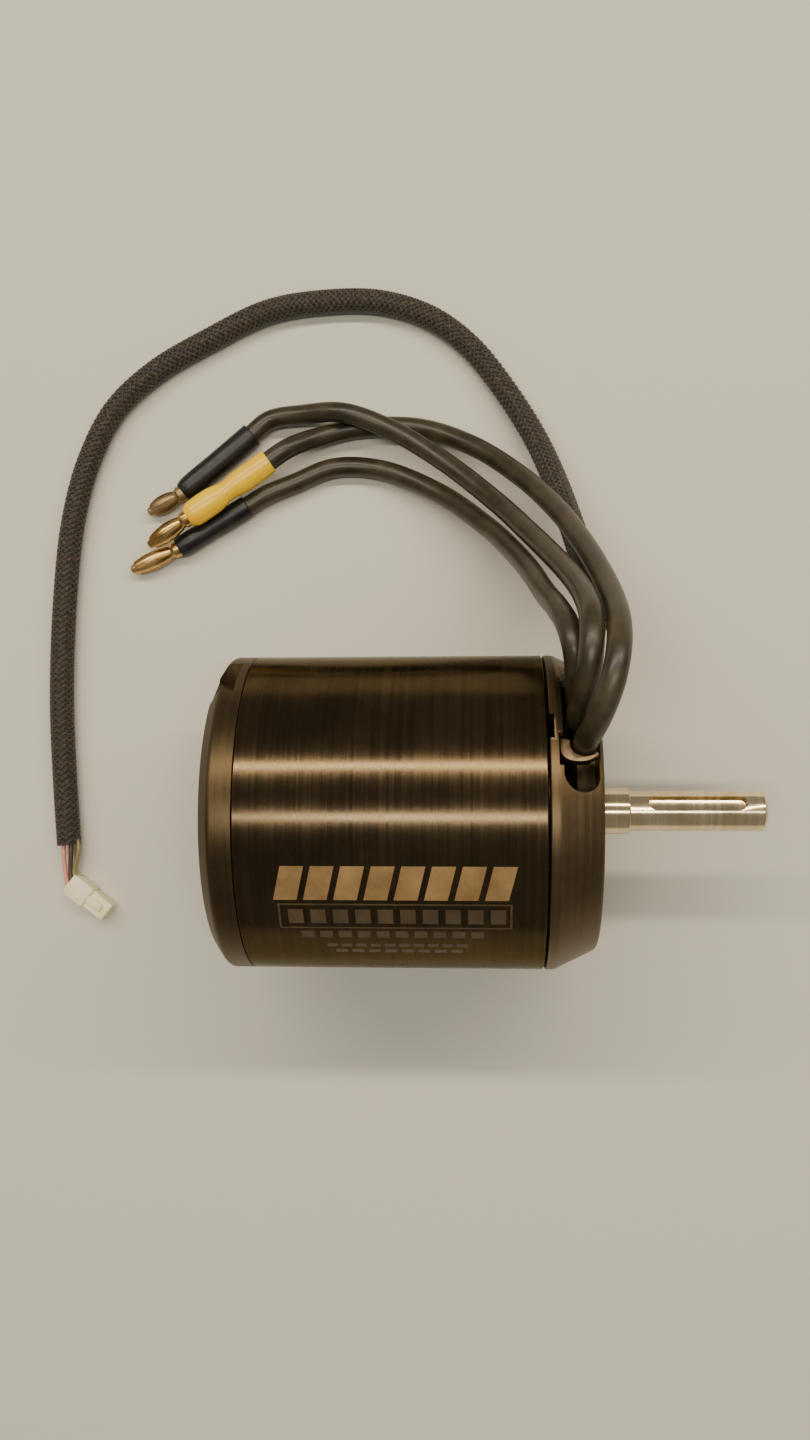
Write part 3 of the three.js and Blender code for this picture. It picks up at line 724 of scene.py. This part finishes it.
# A tall barrel that takes the leads, a lower nose with the contacts' windows, and a latch arm along it.
barrel = box_mesh(-HOUSING_END, -0.4, -2.5, 2.5, -2.3, 2.3)
nose = box_mesh(-0.9, HOUSING_END, -2.2, 2.2, -2.3, 1.5)
latch = box_mesh(-0.9, 3.6, -0.9, 0.9, 1.2, 2.0)
rails = [box_mesh(-0.9, HOUSING_END - 0.4, y - 0.2, y + 0.2, 1.2, 1.75) for y in (-1.9, 1.9)]
placed = [([housing_place(*v) for v in verts], faces) for verts, faces in (barrel, nose, latch, *rails)]
housing = mesh_piece("hall_housing", *joined(placed), MAT["connector"])
hollows = [box_mesh(-HOUSING_END - 1, -HOUSING_END + 1.2, -2.2, 2.2, -1.4, 1.4),
           box_mesh(HOUSING_END - 1.4, HOUSING_END + 1, -1.7, 1.7, -1.7, 0.9)]
hollows += [box_mesh(-4 + 1.5 * k, -3.2 + 1.5 * k, -2.8, -2.1, -0.9, 0.3) for k in range(2)]
carve(housing, [mesh_piece("cutter", [housing_place(*v) for v in verts], faces, None) for verts, faces in hollows],
      0.16)
stands_for(housing, "stator", "connector_white", "hall_connector")

# ---------------------------------------------------------------- rotor can
can_profile = fillet([
    (28.6, CAN_REAR), (BODY_R - 0.1, CAN_REAR), (BODY_R, CAN_REAR + 0.1), (BODY_R, CAN_FRONT - 0.2),
    (BODY_R - 0.2, CAN_FRONT), (28.6, CAN_FRONT),
], 0.1)
can = revolve("rotor_can_skin", can_profile, MAT["can"], 256)
stands_for(can, "rotor", "can_black", "rotor_can")

# ---------------------------------------------------------------- generic marking printed on the can
def printed(cells, name, material):
    """Each cell is a list of rows (angle in degrees from the top towards -Y, x from, x to)."""
    parts = []
    for rows in cells:
        verts = []
        for layer in (BODY_R + 0.03, BODY_R - 0.15):
            for angle, x0, x1 in rows:
                y, z = polar(layer, -angle)
                verts += [(x0, y, AXIS_Z + z), (x1, y, AXIS_Z + z)]
        n = len(rows)
        faces = []
        for i in range(n - 1):
            a, b = 2 * i, 2 * (i + 1)
            faces.append([a, a + 1, b + 1, b])
            faces.append([2 * n + a, 2 * n + b, 2 * n + b + 1, 2 * n + a + 1])
            faces.append([a, b, 2 * n + b, 2 * n + a])
            faces.append([a + 1, 2 * n + a + 1, 2 * n + b + 1, b + 1])
        faces.append([0, 2 * n, 2 * n + 1, 1])
        last = 2 * (n - 1)
        faces.append([last, last + 1, 2 * n + last + 1, 2 * n + last])
        parts.append((verts, faces))
    return mesh_piece(name, *joined(parts), material, 30)


def cell(a0, a1, x0, x1, slant=0.0):
    steps = max(2, int(abs(a1 - a0) / 1.5))
    rows = []
    for i in range(steps + 1):
        t = i / steps
        rows.append((a0 + (a1 - a0) * t, x0 + slant * (1 - t), x1 + slant * (1 - t)))
    return rows


bold = [cell(18, 30.5, -40.5 + 5.5 * k, -36.2 + 5.5 * k, 1.6) for k in range(8)]
fine = [cell(32, 32.6, -39.8, 3), cell(42.4, 43, -39.8, 3), cell(32.6, 42.4, -39.8, -39.4), cell(32.6, 42.4, 2.6, 3)]
fine += [cell(34.4, 40.6, -38 + 4.12 * k, -35.2 + 4.12 * k) for k in range(10)]
fine += [cell(44.4, 47.8, -36 + 3.5 * k, -33.6 + 3.5 * k) for k in range(10)]
fine += [cell(51.5, 53.4, -31.5 + 2.7 * k, -29.5 + 2.7 * k) for k in range(10)]
fine += [cell(55.2, 57.4, -30 + 3.1 * k, -27.8 + 3.1 * k) for k in range(8)]
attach(printed(bold, "can_print_bold", MAT["print"]), "rotor")
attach(printed(fine, "can_print_fine", MAT["print_dim"]), "rotor")

# ---------------------------------------------------------------- rear bell
bell_profile = fillet([
    (4.3, REAR_FACE), (10.5, REAR_FACE), (11.5, REAR_FACE + 0.8), (24, REAR_FACE + 0.8), (25, REAR_FACE),
    (27.7, REAR_FACE), (28.4, REAR_FACE + 0.3), (31.1, REAR_FACE + 2.2), (BODY_R, REAR_FACE + 2.8),
    (BODY_R, REAR_SEAM - 0.1), (BODY_R - 0.1, REAR_SEAM), (28.3, REAR_SEAM), (28.3, REAR_SEAM + 2.7),
    (26, REAR_SEAM + 2.7),
    (26, REAR_FACE + 5.2), (24.8, REAR_FACE + 4.2), (9.5, REAR_FACE + 4.2), (9.5, -39), (4.3, -39),
], 0.5, 4)
bell = revolve("rear_bell_skin", bell_profile, MAT["bell"], 192)


def sector_outline(inner, outer, half, rho):
    """A sector with rounded corners, as (y, z) about the axis, middle at the top."""
    drop_out = math.degrees(math.asin(rho / (outer - rho)))
    drop_in = math.degrees(math.asin(rho / (inner + rho)))
    reach_out = math.sqrt((outer - rho) ** 2 - rho ** 2)
    reach_in = math.sqrt((inner + rho) ** 2 - rho ** 2)

    def corner(a, c, b):
        a, b, c = Vector(a), Vector(b), Vector(c)
        return [tuple(a * (1 - t) ** 2 + c * 2 * t * (1 - t) + b * t ** 2) for t in (0, 0.2, 0.4, 0.6, 0.8, 1)]

    points = arc(outer, -half + drop_out, half - drop_out, 18)[1:-1]
    points += corner(polar(outer, half - drop_out), polar(outer, half), polar(reach_out, half))
    points += corner(polar(reach_in, half), polar(inner, half), polar(inner, half - drop_in))
    points += arc(inner, half - drop_in, -half + drop_in, 12)[1:-1]
    points += corner(polar(inner, -half + drop_in), polar(inner, -half), polar(reach_in, -half))
    points += corner(polar(reach_out, -half), polar(outer, -half), polar(outer, -half + drop_out))
    return points


def round_hole(radius, x, lateral, start, end, angle, segments=40, thread=0.0):
    """A radial cutter: a round bore across the axis at station x, from radius start out to end."""
    verts, faces = [], []
    rows = [start, end]
    if thread:
        rows = list(np.arange(start, end, 0.25))
    for i, h in enumerate(rows):
        r = radius - (thread if i % 2 else 0)
        verts += [(x + r * math.cos(TAU * k / segments), lateral + r * math.sin(TAU * k / segments), h)
                  for k in range(segments)]
    for i in range(len(rows) - 1):
        for k in range(segments):
            n = (k + 1) % segments
            faces.append([i * segments + k, i * segments + n, (i + 1) * segments + n, (i + 1) * segments + k])
    faces.append(list(range(segments))[::-1])
    last = (len(rows) - 1) * segments
    faces.append(list(range(last, last + segments)))
    return cutter(verts, faces, angle)


def axial_hole(radius, at_radius, angle, start, end, segments=36, thread=0.0, flare=0.0):
    """A cutter along the axis at a radius and angle. flare opens it into a small countersink at the end."""
    rows = [(start, radius), (end, radius)]
    if thread:
        stations = np.arange(start, end - flare, 0.35)
        rows = [(x, radius - (thread if i % 2 else 0)) for i, x in enumerate(stations)]
        rows += [(end - flare, radius), (end + 0.3, radius + flare + 0.3)]
    verts, faces = [], []
    for x, r in rows:
        verts += [(x, r * math.cos(TAU * k / segments), at_radius + r * math.sin(TAU * k / segments))
                  for k in range(segments)]
    for i in range(len(rows) - 1):
        for k in range(segments):
            n = (k + 1) % segments
            faces.append([i * segments + k, i * segments + n, (i + 1) * segments + n, (i + 1) * segments + k])
    faces.append(list(range(segments))[::-1])
    last = (len(rows) - 1) * segments
    faces.append(list(range(last, last + segments)))
    return cutter(verts, faces, angle)


window = sector_outline(13.5, 22.5, 20, 1.6)
bell_cuts = [cutter(*prism(window, -56, -48.5), 30 + 60 * k) for k in range(6)]
notch = box_mesh(REAR_FACE - 1, REAR_FACE + 5.2, -5.5, 5.5, 26.8, 34)
bell_cuts += [cutter(*notch, angle) for angle in (57, 237)]
bell_cuts += [round_hole(2.3, -43.5, 0, 4.0, 9.8, angle) for angle in (0, 90)]
carve(bell, bell_cuts, 0.22)
stands_for(bell, "rotor", "bell_bronze", "rear_bell")

# ---------------------------------------------------------------- front mount: flange, cap and bearing tube
mount_profile = fillet([
    (7, FRONT_FACE), (27.2, FRONT_FACE), (27.7, FRONT_FACE - 0.5), (BODY_R, CAP_REAR + 1.7), (BODY_R, CAP_REAR + 0.15),
    (BODY_R - 0.15, CAP_REAR), (28.6, CAP_REAR), (27.4, 14.9), (26.8, 15.5), (13, 15.5), (12, 14.5), (12, TUBE_END),
    (9.8, TUBE_END), (9.8, -31.4), (8.2, -31.4), (8.2, 10.3), (9.8, 10.3), (9.8, 16.9), (7, 16.9),
], 0.3)
mount = revolve("front_mount_skin", mount_profile, MAT["mount"], 192)

SLOT_FROM, SLOT_TO, SLOT_X0, SLOT_X1, SLOT_FLOOR = 13.4, 64.5, 12.2, 18.9, 18.5
slot_mid_x = (SLOT_X0 + SLOT_X1) / 2
steps = 24
verts, faces = [], []
for layer in (SLOT_FLOOR, 36):
    for i in range(steps + 1):
        a = SLOT_FROM + (SLOT_TO - SLOT_FROM) * i / steps
        y, z = polar(layer, a)
        verts += [(SLOT_X0, y, z), (SLOT_X1, y, z)]
n = steps + 1
for i in range(steps):
    a, b = 2 * i, 2 * i + 2
    faces += [[a, a + 1, b + 1, b], [2 * n + a, 2 * n + b, 2 * n + b + 1, 2 * n + a + 1],
              [a, b, 2 * n + b, 2 * n + a], [a + 1, 2 * n + a + 1, 2 * n + b + 1, b + 1]]
faces += [[0, 2 * n, 2 * n + 1, 1], [2 * n - 2, 2 * n - 1, 4 * n - 1, 4 * n - 2]]
mount_cuts = [cutter(verts, faces, 0), round_hole(3.35, slot_mid_x, 0, SLOT_FLOOR, 36, SLOT_FROM)]
mount_cuts.append(cutter(*box_mesh(11.4, 19, -3.2, 3.2, 27.2, 36), 21.5))
mount_cuts.append(cutter(*box_mesh(9.2, CAP_REAR + 0.9, -2.6, 2.6, 27, 36), 30))
vent = sector_outline(18.2, 24.2, 22, 1.6)
mount_cuts += [cutter(*prism(vent, 12, 22), angle) for angle in (125, 215, 305)]
for at, angles in ((15, (35, 125, 215, 305)), (22, (80, 170, 260, 350))):
    mount_cuts += [axial_hole(1.78, at, angle, 13, FRONT_FACE, 32, 0.2, 0.35) for angle in angles]
carve(mount, mount_cuts, 0.2)
stands_for(mount, "stator", "mount_bronze", "front_mount")

# ---------------------------------------------------------------- cable guard: the bright hooked edge in the slot
guard_centre_x = 16.2


def quadratic(a, c, b, steps=8):
    a, b, c = Vector(a), Vector(b), Vector(c)
    return [tuple(a * (1 - t / steps) ** 2 + c * 2 * (t / steps) * (1 - t / steps) + b * (t / steps) ** 2)
            for t in range(steps + 1)]


guard_outline = [(-4.5, 1.1), *quadratic((-4.5, -1.2), (-4.4, -3.8), (-0.8, -3.8), 12)]
guard_outline += quadratic((-0.8, -3.8), (1.2, -3.8), (2.53, -2.12), 6)[1:]
guard_outline += [(2.6 * math.cos(math.radians(a)), 2.6 * math.sin(math.radians(a)))
                  for a in np.linspace(-40, -195, 28)]
guard_flat = [(guard_centre_x + u, v) for u, v in guard_outline]
guard_verts, guard_faces = prism(guard_flat, 27.5, 29.2, axis="z")
guard = mesh_piece("cable_guard_skin", around(guard_verts, 25.5), guard_faces, MAT["bare"], 30)
bevelled(guard, 0.18, 3)
stands_for(guard, "stator", "bare_metal", "cable_guard")

# ---------------------------------------------------------------- shaft, spacer and bearings
shaft_profile = ease([
    (0, -54), (SHAFT_R - 0.5, -54), (SHAFT_R, -53.5), (SHAFT_R, SHAFT_END - 0.6), (SHAFT_R - 0.6, SHAFT_END),
    (1.3, SHAFT_END), (0.35, SHAFT_END - 1.6), (0, SHAFT_END - 1.6),
], 0.08, 2)
shaft = revolve("shaft_skin", shaft_profile, MAT["steel"], 128, closed=False)
half_width, KEY_FROM, KEY_TO = 1.5, 30.6, 50
key_outline = [(KEY_TO - half_width + half_width * math.cos(math.radians(a)), half_width * math.sin(math.radians(a)))
               for a in np.linspace(90, -90, 16)]
key_outline += [(KEY_FROM + half_width + half_width * math.cos(math.radians(a)),
                 half_width * math.sin(math.radians(a))) for a in np.linspace(-90, -270, 16)]
key_verts, key_faces = prism(key_outline, SHAFT_R - 1.8, SHAFT_R + 1, axis="z")
carve(shaft, [cutter(key_verts, key_faces, 25)], 0.06)
stands_for(shaft, "rotor", "steel", "shaft")

spacer_profile = fillet([(SHAFT_R + 0.02, SPACER_REAR), (SPACER_R, SPACER_REAR), (SPACER_R, SPACER_END),
                         (SHAFT_R + 0.02, SPACER_END)], 0.3)
spacer = revolve("shaft_spacer_skin", spacer_profile, MAT["steel"], 96)
stands_for(spacer, "rotor", "steel", "shaft_spacer")

for place, node_x in (("front", low("front_bearing_outer")[0]), ("rear", low("rear_bearing_outer")[0])):
    x0, x1 = node_x, node_x + 6
    groove = [(8.1, x1 - 0.35), (6.95, x1 - 0.35), (6.95, x0 + 0.35), (8.1, x0 + 0.35)]
    outer = [(9.5, x0), (9.5, x1), (8.3, x1), *groove, (8.3, x0)]
    ring = revolve(f"{place}_bearing_outer_skin", fillet(outer, 0.15), MAT["race"], 96)
    stands_for(ring, "stator", "race", f"{place}_bearing_outer")
    inner = [(4.3, x0), (6.3, x0), (6.5, x0 + 0.4), (6.5, x1 - 0.4), (6.3, x1), (4.3, x1)]
    ring = revolve(f"{place}_bearing_inner_skin", fillet(inner, 0.15), MAT["race"], 96)
    stands_for(ring, "rotor", "race", f"{place}_bearing_inner")

# ---------------------------------------------------------------- grub screws in the rear bell
for number, angle in ((1, 0), (2, 90)):
    screw_profile = [(0, 4.3), (1.2, 4.3), (1.95, 5.0)]
    for k in range(6):
        h = 5.2 + k * 0.55
        screw_profile += [(2.0, h), (2.0, h + 0.12), (1.72, h + 0.34)]
    screw_profile += [(1.98, 8.6), (1.6, 9.0), (0, 9.0)]
    verts, faces = turned_mesh(screw_profile, (-43.5, 0, 0), (-43.5, 0, 1), 40)
    screw = mesh_piece(f"grub_screw_skin_{number}", around(verts, angle), faces, MAT["black_steel"], 30)
    hexagon = [(-43.5 + 1.2 * math.cos(TAU * k / 6), 1.2 * math.sin(TAU * k / 6)) for k in range(6)]
    hex_verts, hex_faces = prism(hexagon, 7.2, 10, axis="z")
    carve(screw, [cutter(hex_verts, hex_faces, angle)], 0)
    stands_for(screw, "rotor", "black_steel", f"grub_screw_{number}")

# ---------------------------------------------------------------- magnets
for k in range(14):
    node = f"magnet_{k + 1:02d}"
    lo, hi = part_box(node)
    centre = ((lo.y + hi.y) / 2 / MM, (lo.z + hi.z) / 2 / MM - AXIS_Z)
    angle = math.degrees(math.atan2(centre[0], centre[1]))
    outline = arc(28.3, -11.7, 11.7, 12) + arc(25.8, 11.7, -11.7, 12)
    verts, faces = prism(outline, -37, 2)
    magnet = mesh_piece(f"{node}_skin", around(verts, angle), faces, MAT["magnet"], 30)
    bevelled(magnet, 0.25)
    stands_for(magnet, "rotor", "magnet", node)

# ---------------------------------------------------------------- stator stack: thin sheets, teeth with pole shoes
TEETH = 12
outline = []
for k in range(TEETH):
    mid = 360 / TEETH * k
    half_neck = math.degrees(math.asin(2.4 / 14.5))
    gap = math.degrees(math.asin(2.4 / 22.9))
    outline += [polar(14.5, mid - half_neck), polar(22.9, mid - gap), polar(23.6, mid - 13.2)]
    outline += arc(25, mid - 13.2, mid + 13.2, 8)
    outline += [polar(23.6, mid + 13.2), polar(22.9, mid + gap), polar(14.5, mid + half_neck)]
    outline += arc(14.5, mid + half_neck, mid + 30 - half_neck, 4)[1:-1]


def ring_prism(outline, hole, start, end):
    """A closed plate with one hole. hole has as many points as outline so the faces pair up."""
    n = len(outline)
    verts = [(x, *p) for x in (start, end) for p in outline] + [(x, *p) for x in (start, end) for p in hole]
    faces = []
    for i in range(n):
        j = (i + 1) % n
        faces.append([i, j, n + j, n + i])
        faces.append([2 * n + i, 3 * n + i, 3 * n + j, 2 * n + j])
        faces.append([i, 2 * n + i, 2 * n + j, j])
        faces.append([n + i, n + j, 3 * n + j, 3 * n + i])
    return verts, faces


hole = [polar(12.3, math.degrees(math.atan2(p[0], p[1]))) for p in outline]
plates = []
sheet_count = 26
pitch = (STACK_FRONT - STACK_REAR) / sheet_count
for i in range(sheet_count):
    grow = 1.0 if i % 2 else 0.996
    shape = [(p[0] * grow, p[1] * grow) for p in outline]
    plates.append(ring_prism(shape, hole, STACK_REAR + i * pitch, STACK_REAR + (i + 1) * pitch))
verts, faces = joined(plates)
core = mesh_piece("stator_core_skin", around(verts, 0), faces, MAT["epoxy"], 30)
stands_for(core, "stator", "epoxy", "stator_core")


def coil_mesh():
    """Loops of enamelled wire round one tooth, in two layers, made at the top of the motor."""
    parts = []
    gauge = 0.74
    for layer in range(3):
        for row in range(9 - layer):
            h = 15.3 + row * 0.82 + layer * 0.41
            half_y = 2.9 + layer * 0.72
            if (half_y + gauge / 2) / h > math.tan(math.radians(14.2)):
                continue
            x0, x1 = STACK_REAR - 0.5 - layer * 0.72, STACK_FRONT + 0.5 + layer * 0.72
            r = 1.3 + layer * 0.5
            loop = []
            for cx, cy, a0 in ((x1 - r, half_y - r, 0), (x0 + r, half_y - r, 90), (x0 + r, -half_y + r, 180),
                               (x1 - r, -half_y + r, 270)):
                for t in np.linspace(0, 90, 6):
                    a = math.radians(a0 + t)
                    loop.append((cx + r * math.cos(a), cy + r * math.sin(a), h))
            loop = np.asarray(loop)
            m = len(loop)
            centre = np.asarray([(x0 + x1) / 2, 0, h])
            tangent = np.roll(loop, -1, 0) - np.roll(loop, 1, 0)
            tangent /= np.linalg.norm(tangent, axis=1)[:, None]
            side = np.cross(tangent, [0, 0, 1.0])
            sides = 8
            verts, faces = [], []
            for i in range(m):
                for s in range(sides):
                    t = TAU * s / sides
                    verts.append(loop[i] + gauge / 2 * (math.cos(t) * side[i] + math.sin(t) * np.array([0, 0, 1.0])))
            for i in range(m):
                for s in range(sides):
                    a, b = i * sides, ((i + 1) % m) * sides
                    faces.append([a + s, a + (s + 1) % sides, b + (s + 1) % sides, b + s])
            parts.append((verts, faces))
    return joined(parts)


coil_verts, coil_faces = coil_mesh()
for k in range(TEETH):
    node = f"coil_{k + 1:02d}"
    lo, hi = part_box(node)
    angle = math.degrees(math.atan2((lo.y + hi.y) / 2, (lo.z + hi.z) / 2 - AXIS_Z * MM))
    coil = mesh_piece(f"{node}_winding", around(coil_verts, angle), coil_faces, MAT["copper"], 60)
    stands_for(coil, "stator", "copper", node)

# ---------------------------------------------------------------- Hall board and sensors
board_outline = arc(24.3, 20, 340, 90) + arc(13, 340, 20, 70)
verts, faces = prism(board_outline, 8.1, 9.1)
board = mesh_piece("hall_board_skin", around(verts, 0), faces, MAT["board"], 30)
stands_for(board, "stator", "board", "hall_board")
pads = []
for k in range(18):
    angle = 36 + 17 * k
    pad = box_mesh(9.05, 9.2, -0.8, 0.8, 15.5 + (k % 3) * 2.4, 16.9 + (k % 3) * 2.4)
    pads.append((around(pad[0], angle), pad[1]))
for k in range(5):
    pad = box_mesh(9.05, 9.5, -0.6, 0.6, 20, 22)
    pads.append((around(pad[0], 24 + 5.2 * k), pad[1]))
solder = mesh_piece("hall_board_pads", *joined(pads), MAT["race"], 30)
bevelled(solder, 0.05)
stands_for(solder, "stator", "race")
for number, angle in ((1, 75), (2, 135), (3, 195)):
    body = box_mesh(6.3, 7.8, -2, 2, 21, 24.2)
    sensor = mesh_piece(f"hall_sensor_skin_{number}", around(body[0], angle), body[1], MAT["sensor_black"], 30)
    bevelled(sensor, 0.2)
    stands_for(sensor, "stator", "sensor_black", f"hall_sensor_{number}")

# ---------------------------------------------------------------- floor and soft light
floor_mat = Nodes("floor_plain")
floor_mat.set(Base_Color=(*srgb(216, 212, 199), 1), Roughness=0.85)
verts, faces = box_mesh(-2500, 2500, -2500, 2500, -20, 0)
floor = mesh_piece("floor", verts, faces, floor_mat.mat, 30)


def lamp(name, place, aim, size, power, colour):
    data = bpy.data.lights.new(name, "AREA")
    data.shape = "RECTANGLE"
    data.size, data.size_y = size
    data.energy = power
    data.color = colour
    obj = bpy.data.objects.new(name, data)
    bpy.context.scene.collection.objects.link(obj)
    place, aim = Vector(place), Vector(aim)
    obj.location = place
    obj.rotation_euler = (aim - place).to_track_quat("-Z", "Y").to_euler()
    return obj


middle = Vector((0, 0.0, 0.03))


def lamp_at(name, north_angle, distance, size, power, colour=(1.0, 0.88, 0.70)):
    a = math.radians(north_angle)
    place = middle + Vector((0, math.sin(a), math.cos(a))) * distance
    return lamp(name, place, middle, size, power, colour)


lamp_at("lamp_north", 31.7, 0.62, (1.3, 0.036), 4.7, (1.0, 0.89, 0.70))
lamp_at("lamp_overhead", -4.0, 1.5, (1.1, 0.085), 9.2, (1.0, 0.94, 0.82))

world = bpy.data.worlds.new("soft_fill")
bpy.context.scene.world = world
world.use_nodes = True
background = world.node_tree.nodes["Background"]
background.inputs["Color"].default_value = (1.0, 0.96, 0.89, 1)
background.inputs["Strength"].default_value = 0.24
